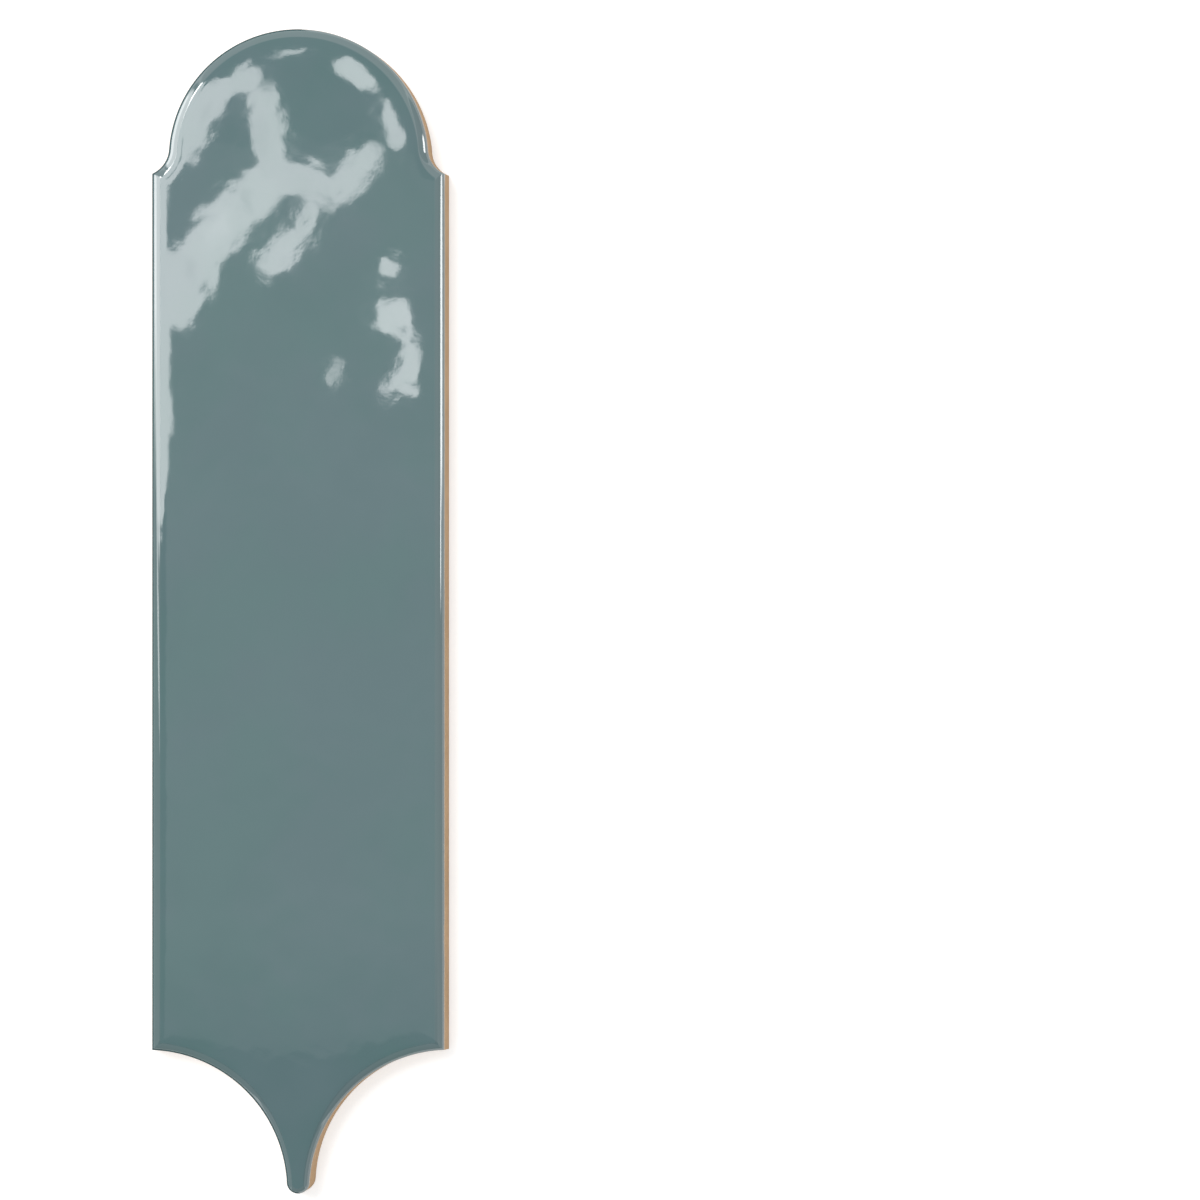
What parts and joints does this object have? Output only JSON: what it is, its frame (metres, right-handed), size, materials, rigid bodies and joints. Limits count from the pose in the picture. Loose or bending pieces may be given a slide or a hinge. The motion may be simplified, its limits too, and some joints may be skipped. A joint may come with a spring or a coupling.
{
  "type": "feather ceramic tile",
  "caption": "Long glazed wall tile shaped like a feather: a round head, straight sides, and a slim tail between two scallops that take the heads of the next row.",
  "frame": {"origin": "on the plane of the back, under the middle of the tile's length and width", "axes": "+Y from the tail to the round head, +X across the tile, +Z out of the glazed face"},
  "size_m": [0.076, 0.298, 0.009],
  "materials": {
    "glaze": "glossy blue-grey green glaze over the face and its rolled edge, with bare buff clay on the walls and the back"
  },
  "bodies": {
    "root": {"feather_tile": "glaze"}
  },
  "joints": []
}
